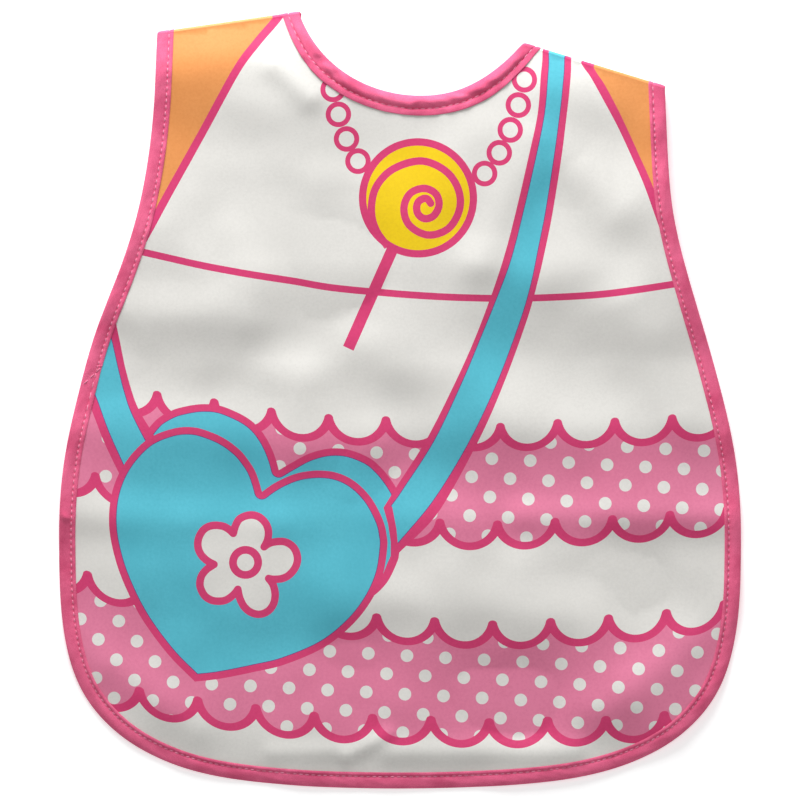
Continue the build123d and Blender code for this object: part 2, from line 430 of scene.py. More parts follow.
PRINT_COLOURS = {
    "white": printed("printed_white", (228, 226, 221), (220, 218, 213)),
    "orange": printed("printed_orange", (230, 152, 86), (222, 142, 76)),
    "line": printed("printed_magenta", (217, 60, 117), (208, 53, 108)),
    "yellow": printed("printed_yellow", (242, 206, 0), (234, 196, 0)),
    "cyan": printed("printed_cyan", (87, 190, 209), (78, 181, 200)),
    "frill": printed("printed_pink", (228, 127, 161), (219, 117, 151)),
    "overprint": printed("printed_purple", (96, 52, 132), (88, 46, 122)),
}
COLOUR_NAMES = list(PRINT_COLOURS)
WHITE = COLOUR_NAMES.index("white")
SLOT_MATERIALS = {
    "printed_fabric": list(PRINT_COLOURS.values()),
    "waterproof_backing": [cloth_material("backing_film", (226, 227, 224), (216, 217, 214),
                                          roughness=0.42, pitch=0.6, relief=0.02, coat=0.2)],
    "binding_tape": [cloth_material("binding_tape", (238, 106, 146), (206, 70, 112), roughness=0.82,
                                    pitch=0.36, relief=0.05, sheen=0.2, mottle=70.0)],
    "sewing_thread": [cloth_material("pink_thread", (240, 152, 182), (224, 124, 158), roughness=0.6,
                                     pitch=0.25, relief=0.04, sheen=0.3, mottle=90.0)],
    "hook_tape": [cloth_material("hook_nylon", (238, 238, 235), (228, 228, 224), roughness=0.45,
                                 pitch=0.5, relief=0.02, mottle=50.0)],
    "loop_tape": [cloth_material("loop_nylon", (241, 241, 238), (228, 228, 225), roughness=0.85,
                                 pitch=0.3, relief=0.04, sheen=0.4, mottle=50.0)],
}


# ---- the print

# The print's lines are LINE wide, and a purple rim of OVERPRINT shows where cyan meets them.
LINE = 3.7
OVERPRINT = 0.3

# Points along one bowl of a scalloped line.
BOWL_POINTS = 34

# How the pulled cloth stretches the print: in length, and in width for each millimetre down.
PRINT_STRETCH = 1.0085
PRINT_FLARE = 0.00006


def bordered(outline):
    """A cyan shape inside a magenta border."""
    inner = inset(outline, LINE)
    return [("line", outline), ("overprint", inset(outline, LINE - OVERPRINT)), ("cyan", inner)]


def ring(x, y, outer, inner, fill):
    """A round line, filled inside."""
    return [("line", circle(x, y, outer)), (fill, circle(x, y, inner))]


def band_between(left_outer, left_inner, right_inner, right_outer):
    """A cyan strap between two drawn lines, each given by its two sides."""
    sides = [curve(side) for side in (left_outer, left_inner, right_inner, right_outer)]
    outer = np.vstack([sides[0], sides[3][::-1]])
    inner = np.vstack([sides[1], sides[2][::-1]])
    return [("line", outer), ("overprint", inset(inner, -OVERPRINT)), ("cyan", inner)]


def bowl(left_tip, right_tip, radius, centre_above, from_angle):
    """One bowl of a scalloped line that hangs between two tips."""
    turn = np.linspace(math.pi + from_angle, 2 * math.pi - from_angle, BOWL_POINTS)
    half_pitch = (right_tip[0] - left_tip[0]) / 2
    x = left_tip[0] + half_pitch + radius * np.cos(turn)
    tip_line = np.interp(x, (left_tip[0], right_tip[0]), (left_tip[1], right_tip[1]))
    return np.column_stack([x, tip_line + centre_above + radius * np.sin(turn)])


def scallops(first_tip, pitch, guide):
    """The upper and the lower side of a scalloped line, from left to right."""
    upper_radius, upper_centre, cap = 12.1, 1.05, 1.9
    lower_radius, lower_centre = 17.0, 2.2
    guide_x, guide_y = zip(*guide)
    tips = [np.array([first_tip + pitch * k, np.interp(first_tip + pitch * k, guide_x, guide_y)])
            for k in range(-2, 13)]
    shoulder = math.asin((upper_centre + cap) / upper_radius)
    cusp = math.acos(pitch / 2 / lower_radius)
    upper, lower = [], []
    for left_tip, right_tip in zip(tips, tips[1:]):
        hanging = bowl(left_tip, right_tip, upper_radius, upper_centre, shoulder)
        if upper:
            end, start = upper[-1][-1], hanging[0]
            turn = np.linspace(math.pi, 0, 9)[1:-1, None]
            upper.append((end + start) / 2 + np.cos(turn) * (start - end) / 2
                         + np.sin(turn) * np.array([0.0, cap]))
        upper.append(hanging)
        lower.append(bowl(left_tip, right_tip, lower_radius, lower_centre, cusp))
    return np.vstack(upper), np.vstack(lower)


def frill(top, bottom, dot_origin):
    """A spotted frill between two scalloped lines."""
    dot_radius, dot_pitch, dot_turn = 3.1, 18.7, math.radians(-3.07)
    top_upper, top_lower = scallops(*top)
    bottom_upper, bottom_lower = scallops(*bottom)
    cloth = counter_clockwise(np.vstack([top_lower, bottom_upper[::-1]]))
    items = [("frill", cloth)]
    along = np.array([math.cos(dot_turn), math.sin(dot_turn)])
    compass = np.array([(1, 0), (-1, 0), (0, 1), (0, -1), (0, 0)])
    reach = 24
    for row in range(-reach, reach + 1):
        for column in range(-reach + row % 2, reach + 1, 2):
            place = np.array(dot_origin) + dot_pitch / 2 * (column * along + row * left_of(along))
            if winding(place + dot_radius * compass, cloth).any():
                items.append(("white", circle(*place, dot_radius), cloth))
    items.append(("line", np.vstack([top_upper, top_lower[::-1]])))
    items.append(("line", np.vstack([bottom_upper, bottom_lower[::-1]])))
    return items


def necklace():
    """Two strings of rings."""
    beads = [
        (-32.8, 152.2), (-30.2, 140), (-26.2, 128), (-20.6, 117.2), (61, 156.8), (58, 144.5), (54, 132.5),
        (48.6, 121.4), (41.4, 111.3)
    ]
    items = []
    for x, y in beads:
        items += ring(x, y, 6.25, 3.8, "white")
    return items


def lollipop():
    """A round sweet with a spiral, on a stick."""
    stick = stroke(np.array([(-1.0, 80.5), (-4.1, 73.5), (-25.2, 26.2)]), 5.6)
    swirl = curve([
        (15, 96.9), (13.6, 98.9), (11.6, 99.2), (9, 97.6), (8.1, 94.4), (9.2, 91.2), (12.4, 89.4),
        (16.6, 91), (19.1, 96.1), (17.4, 101.6), (11.6, 104.1), (4.8, 101.4), (1.9, 94.2), (4.6, 86.2),
        (13.6, 81.5), (23.6, 84.6), (29.1, 94), (28.4, 104), (22, 112.8), (10.2, 117.3), (-3.6, 113.2),
        (-11.8, 104.4), (-14, 93.4), (-11.8, 84), (-6, 75.6)
    ], step=0.7)
    disc = ring(8.8, 99.4, 28.9, 25.3, "yellow")
    return [("line", stick)] + disc + [("line", stroke(swirl, 3.65)), ("line", circle(15.0, 96.9, 1.83))]


def shoulder_print():
    """The orange shoulders and their stripes, drawn on past the folds onto the straps."""
    left_stripe = curve([
        (-133, 66), (-122.8, 84), (-113.5, 101.2), (-97, 130.8), (-80.4, 161.2), (-70.4, 174.6),
        (-59, 187.8), (-49, 203.5), (-40.5, 224), (-30, 252), (-18, 290), (-4, 335), (10, 380)
    ])
    left_cloth = np.vstack([left_stripe, [(-220, 380), (-220, 60)]])
    white_side = curve([
        (128.5, 80.5), (126, 87.2), (119.5, 105.5), (113.4, 119.4), (106.5, 134.2), (99.5, 147.3),
        (93.4, 158.1), (88.6, 165.1), (80, 184), (68, 216), (56, 250), (46, 282)
    ])
    orange_side = curve([
        (131.5, 86), (121.7, 109.9), (117.8, 118.5), (111.7, 132), (106.5, 142.9), (100.4, 154.2),
        (94.7, 163.1), (86, 182), (74, 214), (62, 249), (52, 282)
    ])
    right_cloth = np.vstack([orange_side, [(60, 320), (220, 320), (220, 86)]])
    return [
        ("orange", left_cloth),
        ("line", stroke(left_stripe, 3.9)),
        ("orange", right_cloth),
        ("line", np.vstack([white_side, orange_side[::-1]])),
    ]


def bag_strap():
    """The bag's long strap, from the shoulder to the bag, with its seam."""
    left_outer = [
        (38, 262), (56, 222), (67.6, 190), (69.9, 170.7), (69, 158), (67.4, 140), (63.1, 120.3),
        (57, 94.2), (51.5, 73.3), (44.7, 52.5), (36.6, 31.1), (27.3, 10.7), (12.8, -18.2), (-2.1, -42),
        (-8, -51.4)
    ]
    left_inner = [
        (41, 263), (59.4, 223), (71, 190), (73.1, 169.4), (72.5, 156), (70.9, 140), (66.9, 120.3),
        (60.8, 94.2), (54.6, 70.4), (47.5, 51), (39.3, 30.8), (30.7, 10.7), (16.5, -19.1), (1.6, -42.5),
        (-4.1, -50.5)
    ]
    right_inner = [
        (50, 266), (68, 227), (79.2, 191), (80.6, 167.4), (79.6, 152.5), (77.9, 138), (75.4, 120.3),
        (71.3, 94.2), (67.9, 77.3), (63.4, 56.3), (57.7, 37.3), (47.6, 10.7), (32.4, -21), (16.5, -47),
        (-1.1, -68.4)
    ]
    right_outer = [
        (53, 267), (71.4, 228), (82.6, 191), (84, 166.6), (83.2, 152.5), (81.5, 138), (79.2, 120.3),
        (75, 94.2), (71.6, 77.3), (67, 57.9), (61.6, 38.9), (51.2, 10.7), (37, -20.9), (18.4, -53.6),
        (-0.8, -73.6)
    ]
    seam = [
        (-8, -51.4), (-5.8, -59.3), (-4.5, -67.8), (-4.5, -74.7), (-6.6, -79.4), (-8.6, -84.5),
        (-10.5, -90), (-6.8, -88.2), (-1.8, -78.7), (-0.5, -74.2), (-1, -69.3), (-1.8, -61.3),
        (-3.8, -50.9)
    ]
    drawn = band_between(left_outer, left_inner, right_inner, right_outer)
    return drawn + [("line", counter_clockwise(np.array(seam)))]


def bag_strap_behind():
    """The strap's other end, which comes out from behind the bag."""
    return band_between(
        [(-166, 34), (-155.8, 8.8), (-149.7, -5), (-143.7, -20), (-135, -38)],
        [(-162, 36), (-151.9, 11.7), (-147.2, 0.6), (-141.2, -15.1), (-132.6, -34)],
        [
            (-146, 58), (-142.4, 37.1), (-139.9, 26.7), (-137.3, 15.6), (-134.3, 4.3), (-130.2, -6.8),
            (-119, -28)
        ],
        [
            (-142, 58), (-138.4, 38), (-136.4, 28.4), (-133.4, 14.6), (-128.3, -1.3), (-121.2, -13.6),
            (-112, -28)
        ],
    )


def bag():
    """A heart-shaped bag: its back, the strap over it, its front and a flower."""
    back_left = curve([
        (-58.9, -33.2), (-60.4, -27.8), (-62.6, -22.1), (-65.4, -16.9), (-69, -12.1), (-73.4, -8.3),
        (-79.3, -5), (-87.8, -1.8), (-96.1, -1.1), (-104.5, -2.2), (-112, -4.5), (-119.8, -9.8),
        (-127, -21), (-134, -40)
    ])
    back_right = curve([
        (-16, -96), (-11.2, -92.8), (-6.8, -88.2), (-4.3, -84.2), (-1.8, -78.7), (-0.5, -74.2),
        (0.4, -60), (-0.4, -46), (-2.1, -41.5), (-5.9, -35.9), (-9.4, -31.8), (-14.2, -27.6),
        (-21.8, -24.1), (-28.9, -22.6), (-36.6, -22.9), (-44.9, -25.3), (-52.5, -29.4), (-58.9, -33.2)
    ])
    front_left = curve([
        (-67.1, -43.8), (-68.6, -38.5), (-70.8, -32.9), (-74.2, -27.7), (-77.9, -23.3), (-84.2, -18.4),
        (-91.5, -14.8), (-100.8, -12.2), (-111.5, -13.1), (-123.6, -18.6), (-134, -30.2), (-139.9, -44.1),
        (-141.2, -59.9), (-138.2, -76), (-132.3, -91.6), (-124, -107.1), (-112, -123), (-99.2, -135.9)
    ])
    front_right = curve([
        (-99.2, -135.9), (-87, -134.5), (-70.6, -131.3), (-56, -127.8), (-37, -119.6), (-23.4, -108.6),
        (-14.1, -96.6), (-8.3, -83.8), (-6.2, -70.6), (-6.5, -64.6), (-7.8, -58.7), (-10.8, -52),
        (-14.6, -46), (-19.8, -40.5), (-25.7, -36.5), (-32.4, -34.1), (-39.2, -33.4), (-45.9, -33.9),
        (-51.8, -35.3), (-57.8, -37.8), (-63, -40.8), (-67.1, -43.8)
    ])
    back = np.vstack([back_left[:-1], back_right[:-1]])
    front = np.vstack([front_left[:-1], front_right[:-1]])
    items = bordered(counter_clockwise(back)) + bag_strap_behind() + bag_strap()
    return items + bordered(counter_clockwise(front)) + flower()


# The middle of the line round each petal, from the flower's middle, notch to notch.
FLOWER_PETALS = [
    [
        (9.3, 7.9), (10.4, 8.8), (12.6, 9.9), (16, 10.5), (19.4, 10.3), (22.4, 8.7), (24.5, 6.1),
        (25.5, 2.3), (24.9, -1.1), (23.2, -4), (20.8, -6.3), (17.8, -7.6), (14.8, -7.9), (12.8, -7.8),
        (11.5, -7.5)
    ],
    [
        (11.5, -7.5), (12.5, -8.7), (13.6, -10.4), (14.4, -13), (14.7, -16), (14, -19.7), (11.9, -22.9),
        (8.8, -24.7), (5.5, -24.9), (2.1, -23.5), (-0.4, -21.1), (-2, -18.2), (-2.9, -15.5),
        (-3.4, -12.8)
    ],
    [
        (-3.4, -12.8), (-4.8, -14.7), (-6.8, -16.6), (-9.6, -18.2), (-13, -18.6), (-16.4, -18),
        (-19.4, -16), (-21.3, -12.7), (-21.8, -9.8), (-21, -6.2), (-18.8, -3.3), (-16.6, -1.7),
        (-15, -0.7)
    ],
    [
        (-15, -0.7), (-16.8, 0.2), (-18.8, 1.5), (-21, 3.7), (-22.5, 6.5), (-22.9, 9.8), (-22.1, 13.2),
        (-20.1, 16.2), (-17.2, 17.9), (-13.7, 18.3), (-10.2, 17.7), (-7.7, 16.2), (-5.7, 14.4)
    ],
    [
        (-5.7, 14.4), (-5.3, 16.1), (-4.5, 18.5), (-2.9, 21.2), (0.1, 22.8), (3.6, 23.3), (7.1, 22.2),
        (9.9, 19.5), (11.2, 16.4), (11.3, 13.2), (10.6, 10.4), (9.3, 7.9)
    ],
]


def flower():
    """Five uneven petals with rounded notches between them, round a ring."""
    x, y = -75.2, -78.2
    petals = [curve(np.add(points, (x, y))) for points in FLOWER_PETALS]
    items = []
    for petal in petals:
        items.append(("line", counter_clockwise(stroke(petal, LINE))))
        items.append(("line", circle(*petal[0], LINE / 2)))
    outline = np.vstack([petal[:-1] for petal in petals])
    items.append(("white", inset(outline, LINE / 2)))
    return items + ring(x + 0.3, y + 0.3, 8.0, 4.2, "white")


def front_print():
    dress = curve([
        (-160, 80.8), (-124, 72.8), (-91.5, 65.7), (-54.2, 59.3), (-29.2, 55.2), (11.2, 51.9),
        (44.1, 50.6), (68.2, 50.9), (94.1, 52.3), (116, 55), (134, 57.6), (160, 62)
    ])
    upper_frill = frill(
        (-146.1, 27.85, [
            (-202, 17), (-146, 9.5), (-118, 5.3), (-90, 1.7), (-62.4, -2.7), (-35, -5.9), (-6.6, -6.8),
            (21, -8.3), (49, -9.9), (76.4, -8.1), (104, -7.6), (132.6, -5.7), (160, -2.9)
        ]),
        (-148.0, 27.9, [
            (-176, -28), (-147.4, -34.3), (-60, -50), (18.6, -56.4), (46.5, -57.6), (102.8, -54.8),
            (131, -52.6), (159, -50)
        ]),
        (82.0, -29.5))
    lower_frill = frill(
        (-151.5, 28.05, [
            (-180, -76), (-150.3, -82.4), (-80, -95), (-11.5, -102.6), (44.8, -106), (101, -103.3),
            (129.3, -100.8), (157.1, -96)
        ]),
        (-154.1, 28.17, [
            (-154, -133.5), (-98, -143), (-42, -150.6), (15, -152.6), (43, -154), (99.5, -152.3),
            (127.6, -150), (155, -146)
        ]),
        (40.7, -125.4))
    return (shoulder_print() + [("line", stroke(dress, 3.4))] + upper_frill + lower_frill
            + necklace() + lollipop() + bag())


def strap_print():
    """The part of the print that goes on past the shoulder folds."""
    return shoulder_print() + bag_strap()


def stretched(polygon):
    """The print as the cloth is pulled: longer, and wider towards the hem."""
    x, y = polygon[:, 0], polygon[:, 1]
    return np.column_stack([x * (1 - PRINT_FLARE * y), y * PRINT_STRETCH])


def over(items, *folds):
    """The print as it lies once the cloth is folded over at each fold."""
    result = []
    for colour, polygon, *clip in items:
        polygon = stretched(polygon)
        for fold in folds:
            polygon = mirrored(polygon, fold[0], fold[-1])
        result.append((colour, counter_clockwise(polygon), *[stretched(limit) for limit in clip]))
    return result


def colours_at(points, items):
    """The print colour at each point, as an index into COLOUR_NAMES."""
    colours = np.full(len(points), WHITE)
    for colour, polygon, *clip in items:
        covered = winding(points, polygon) > 0
        for limit in clip:
            covered &= winding(points, limit) > 0
        colours[covered] = COLOUR_NAMES.index(colour)
    return colours


# ---- pieces

def new_piece(name, points, faces, slot_name, colours=None, sharp=50):
    """A piece with its slot's materials. Edges bent by more than sharp degrees stay hard."""
    mesh = bpy.data.meshes.new(name)
    mesh.from_pydata((np.asarray(points) * MM).tolist(), [], faces)
    for material in SLOT_MATERIALS[slot_name]:
        mesh.materials.append(material)
    if colours is not None:
        mesh.polygons.foreach_set("material_index", colours)
    mesh.polygons.foreach_set("use_smooth", [True] * len(mesh.polygons))
    mesh.set_sharp_from_angle(angle=math.radians(sharp))
    piece = bpy.data.objects.new(name, mesh)
    bpy.context.collection.objects.link(piece)
    return piece


def inside_grid(outline, spacing):
    """Points in staggered rows inside an outline."""
    low, high = outline.min(axis=0), outline.max(axis=0)
    rows = []
    for k, y in enumerate(np.arange(low[1], high[1], spacing * ROW_SHARE)):
        xs = np.arange(low[0] + spacing / 2 * (k % 2), high[0], spacing)
        rows.append(np.column_stack([xs, np.full(len(xs), y)]))
    grid = np.vstack(rows)
    grid = grid[winding(grid, outline) > 0]
    clear = np.full(len(grid), True)
    for x, y in outline:
        clear &= np.hypot(grid[:, 0] - x, grid[:, 1] - y) > spacing * EDGE_SHARE
    return grid[clear]


def with_short_edges(polygon, longest):
    """The same polygon with points added along its long edges."""
    parts = []
    for start, end in zip(polygon, np.roll(polygon, -1, axis=0)):
        count = max(1, math.ceil(np.linalg.norm(end - start) / longest))
        parts.append(start + np.linspace(0, 1, count, endpoint=False)[:, None] * (end - start))
    return np.vstack(parts)


def triangles(outline, items, spacing):
    """The area inside an outline in triangles that keep every edge of the print."""
    polygons = [with_short_edges(polygon, spacing) for polygon in [outline] + [item[1] for item in items]]
    low, high = outline.min(axis=0) - 5, outline.max(axis=0) + 5
    points, edges = [], []
    for polygon in polygons:
        first = len(points)
        points += list(polygon)
        near = np.all((polygon >= low) & (polygon <= high), axis=1)
        near |= np.roll(near, -1) | np.roll(near, 1)
        count = len(polygon)
        edges += [(first + i, first + (i + 1) % count) for i in range(count) if near[i]]
    points += list(inside_grid(outline, spacing))
    made = delaunay_2d_cdt([Vector(p) for p in points], edges, [], 0, 1e-5, False)
    places = np.array([tuple(v) for v in made[0]])
    faces = np.array([f for f in made[2]])
    middles = places[faces].mean(axis=1)
    faces = faces[winding(middles, outline) > 0]
    used, faces = np.unique(faces, return_inverse=True)
    return places[used], faces.reshape(-1, 3)


def shade_from_level(piece, places, faces, level, side):
    """Gives the printed side the normals of the smooth surface that its triangles follow."""
    reach = 0.5  # half the distance over which the slope is taken
    x, y = places[:, 0], places[:, 1]
    slope_x = (level(x + reach, y) - level(x - reach, y)) / (2 * reach)
    slope_y = (level(x, y + reach) - level(x, y - reach)) / (2 * reach)
    upward = unit(np.column_stack([-slope_x, -slope_y, np.ones(len(places))]))
    normals = np.zeros((len(piece.data.loops), 3))
    normals[:faces.size] = side * upward[faces.ravel()]
    piece.data.normals_split_custom_set(normals.tolist())


def closed_layer(faces, count):
    """A net of triangles over count points, its copy on the other side and the walls between."""
    edges = np.vstack([faces[:, [0, 1]], faces[:, [1, 2]], faces[:, [2, 0]]]).tolist()
    walls = [(b, a, a + count, b + count) for a, b in rim(edges)]
    return faces.tolist() + (faces[:, ::-1] + count).tolist() + walls


def cloth_layer(name, outline, items, spacing, level, side, top, bottom, slot_name):
    """A closed layer of cloth; top and bottom are measured from the middle of the cloth's
    thickness, towards the printed side, which is up when side is 1 and down when it is -1."""
    places, faces = triangles(outline, items, spacing)
    middle = level(places[:, 0], places[:, 1])
    print_side = np.column_stack([places, middle + side * top])
    back_side = np.column_stack([places, middle + side * bottom])
    colours = None
    if items:
        colours = colours_at(places[faces].mean(axis=1), items).tolist()
    if side < 0:
        faces = faces[:, ::-1]
    all_faces = closed_layer(faces, len(places))
    if items:
        colours += [WHITE] * (len(all_faces) - len(faces))
    points = np.vstack([print_side, back_side])
    piece = new_piece(name, points, all_faces, slot_name, colours)
    shade_from_level(piece, places, faces, level, side)
    return piece


class Edge:
    """One bound edge of a panel. It runs along the cloth's outline with the cloth on its left.
    At its ends its sections lean to lie along the line where the edge stops."""

    def __init__(self, line, start_line, end_line):
        self.line = resample(curve(line), STATION)
        self.along = length_along(self.line)
        self.length = self.along[-1]
        tangent = unit(np.gradient(self.line, axis=0))
        inward = left_of(tangent)
        lean = np.zeros(len(tangent))
        for index, stop, far in ((0, start_line, self.along), (-1, end_line, self.length - self.along)):
            full = (stop @ tangent[index]) / (stop @ inward[index])
            lean += full * (1 - smoothstep(far / LEAN_LENGTH))
        self.across = inward + lean[:, None] * tangent

    def at(self, along, depth):
        """The place at a distance along the edge and a depth in from the tape's outer fold."""
        line = np.stack([np.interp(along, self.along, self.line[:, i]) for i in (0, 1)], axis=-1)
        across = np.stack([np.interp(along, self.along, self.across[:, i]) for i in (0, 1)], axis=-1)
        return line + across * (np.asarray(depth) - TAPE)[..., None]


def tape_section(width, seam):
    """The folded tape in section: depths from the outer fold, heights towards the printed side,
    and how many of the points are outside. They go round the outside from the printed side's
    inner edge, then back along the cloth."""
    outside = [
        (width, 0.34), (width - 0.05, 0.48), (width - 0.3, 0.58), (width - 0.7, TAPE_TOP),
        (seam + 1.1, TAPE_TOP), (seam + 0.55, 0.58), (seam + 0.25, 0.42), (seam, 0.32),
        (seam - 0.25, 0.42), (seam - 0.6, 0.58), (seam - 1.2, TAPE_TOP), (seam * 0.62, TAPE_TOP),
        (seam * 0.44, TAPE_TOP), (seam * 0.28, 0.60), (seam * 0.15, 0.52), (0.32, 0.36), (0.06, 0.14),
        (0.0, -0.08), (0.10, -0.32), (0.40, -0.52), (1.0, TAPE_BOTTOM), (3.2, TAPE_BOTTOM),
        (seam - 0.5, TAPE_BOTTOM), (seam, BOBBIN_GROOVE), (seam + 0.5, TAPE_BOTTOM),
        (width - 0.3, TAPE_BOTTOM), (width, -0.50), (width, -0.30),
    ]
    inside = [
        (seam, -TAPE_INSIDE), (1.0, -TAPE_INSIDE), (0.45, -0.15), (0.38, 0.0), (0.45, 0.15),
        (1.0, TAPE_INSIDE), (seam, TAPE_INSIDE),
    ]
    section = np.array(outside + inside)
    return section[:, 0], section[:, 1], len(outside)


def skin(rings, count):
    """The faces of a closed body made of rings of count points: its sides and its two ends."""
    faces = []
    for k in range(rings - 1):
        for i in range(count):
            j = (i + 1) % count
            faces.append((k * count + i, k * count + j, (k + 1) * count + j, (k + 1) * count + i))
    faces.append(tuple(range(count))[::-1])
    faces.append(tuple((rings - 1) * count + i for i in range(count)))
    return faces


def tube(points, radius, sides, normal=(0, 0, 1)):
    """A closed tube along points."""
    points = np.asarray(points, float)
    forward = unit(np.gradient(points, axis=0))
    side = unit(np.cross(forward, normal))
    up = np.cross(side, forward)
    turn = np.linspace(0, 2 * math.pi, sides, endpoint=False)
    size = np.full(len(points), radius)
    size[0] = size[-1] = radius * TIP_SHARE
    rings = (points[:, None] + size[:, None, None]
             * (np.cos(turn)[None, :, None] * side[:, None] + np.sin(turn)[None, :, None] * up[:, None]))
    return rings.reshape(-1, 3), skin(len(points), sides)


def merged(parts):
    """Points and faces of several bodies put together."""
    points, faces, count = [], [], 0
    for part_points, part_faces in parts:
        points.append(part_points)
        faces += [tuple(i + count for i in face) for face in part_faces]
        count += len(part_points)
    return np.vstack(points), faces


def thread_piece(name, parts):
    points, faces = merged(parts)
    return new_piece(name, points, faces, "sewing_thread", sharp=80)


def stand_in(piece, body, node_name):
    """Puts a piece on a body, in the place of one of its CAD nodes."""
    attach(piece, body)
    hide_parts(node_name)


class Binding:
    """The tape along one bound edge of a body, with its needle and bobbin stitches. Crown is how
    far it is puffed between the outer fold and the seam, ridge the same past the seam, and pucker
    how uneven it is. A pinch is its place along the edge, its slant, its half width and its rise."""

    def __init__(self, name, body, edge, level, side, seed, width=BINDING_WIDTH, seam=SEAM, crown=0.2,
                 ridge=0.25, pucker=0.08, pinches=()):
        self.edge, self.level, self.side = edge, level, side
        self.width, self.seam, self.crown, self.ridge = width, seam, crown, ridge
        self.pucker, self.seed, self.pinches = pucker, seed, pinches
        self.stitch_count = int(edge.length / STITCH_PITCH)
        self.pitch = edge.length / self.stitch_count
        self.made = [self.piece(name + "_tape"), self.stitches(name + "_needle_stitches", True),
                     self.stitches(name + "_bobbin_stitches", False)]
        for piece, part in zip(self.made, ("_binding", "_needle_thread", "_bobbin_thread")):
            stand_in(piece, body, name + part)

    def place(self, along, depth):
        """The place at a depth in from the outer fold; a wide tape narrows towards its ends."""
        far = np.minimum(along, self.edge.length - along)
        narrowing = (1 - BINDING_WIDTH / self.width) * (1 - smoothstep(far / NARROW_LENGTH))
        return self.edge.at(along, depth * (1 - narrowing))

    def extra(self, along, depth):
        """How far the tape's printed side stands above its plain section."""
        far = np.minimum(along, self.edge.length - along)
        calm = smoothstep(far / CALM_LENGTH)
        loose = np.sin(math.pi * np.clip(depth / self.seam, 0, 1)) ** 1.2
        lip = np.sin(math.pi * np.clip((depth - self.seam) / (self.width - self.seam), 0, 0.8))
        long = noise_at(along + 3.0 * depth, depth * 2.0, LONG_PUCKER, self.seed)
        short = noise_at(along + 1.5 * depth, depth * 1.4, SHORT_PUCKER, self.seed + 5.0)
        puffed = self.crown + self.pucker * (2.2 * long + 1.1 * short)
        for place, slant, size, rise in self.pinches:
            crease = np.exp(-((along - place - slant * (depth - self.seam / 2)) / size) ** 2)
            puffed = puffed + rise * crease
        near_seam = np.exp(-((depth - self.seam) / 0.8) ** 2)
        pull = STITCH_PULL * np.cos(2 * math.pi * along / self.pitch) * near_seam
        uneven = 1 + 1.2 * noise_at(along, depth, RIDGE_PUCKER, self.seed + 9.0)
        raised = self.ridge * uneven * np.maximum(lip, 0)
        return (np.maximum(puffed, 0.0) * loose + raised - pull) * calm

    def piece(self, name):
        depth, rise, outside = tape_section(self.width, self.seam)
        along = self.edge.along
        grid_along, grid_depth = np.meshgrid(along, depth, indexing="ij")
        place = self.place(grid_along, grid_depth)
        lifted = np.zeros(grid_along.shape)
        printed_side = np.flatnonzero((np.arange(len(depth)) < outside) & (rise > 0.1))
        lifted[:, printed_side] = self.extra(grid_along[:, printed_side], grid_depth[:, printed_side])
        z = self.level(place[..., 0], place[..., 1]) + self.side * (rise + lifted)
        points = np.concatenate([place, z[..., None]], axis=-1).reshape(-1, 3)
        faces = [face[::self.side] for face in skin(len(along), len(depth))]
        return new_piece(name, points, faces, "binding_tape", sharp=65)

    def stitches(self, name, printed_side):
        """One row of stitches: the needle thread is on the printed side, the bobbin thread is not."""
        if printed_side:
            radius, plain_rise = NEEDLE_RADIUS, NEEDLE_GROOVE + NEEDLE_RISE
        else:
            radius, plain_rise = BOBBIN_RADIUS, BOBBIN_GROOVE + BOBBIN_RISE
        count = len(plain_rise)
        wander = random.Random(self.seed)
        parts = []
        for k in range(self.stitch_count):
            middle = (k + 0.5) * self.pitch
            start = middle - STITCH_LENGTH / 2 + wander.uniform(-SCATTER_ALONG, SCATTER_ALONG)
            along = np.linspace(start, start + STITCH_LENGTH, count)
            depth = (self.seam + wander.uniform(-SCATTER_ACROSS, SCATTER_ACROSS)
                     + np.linspace(-STITCH_SLANT, STITCH_SLANT, count))
            place = self.place(along, depth)
            rise = plain_rise
            if printed_side:
                rise = rise + self.extra(along, np.full(count, self.seam))
            z = self.level(place[:, 0], place[:, 1]) + self.side * rise
            parts.append(tube(np.column_stack([place, z]), radius, THREAD_SIDES))
        return thread_piece(name, parts)


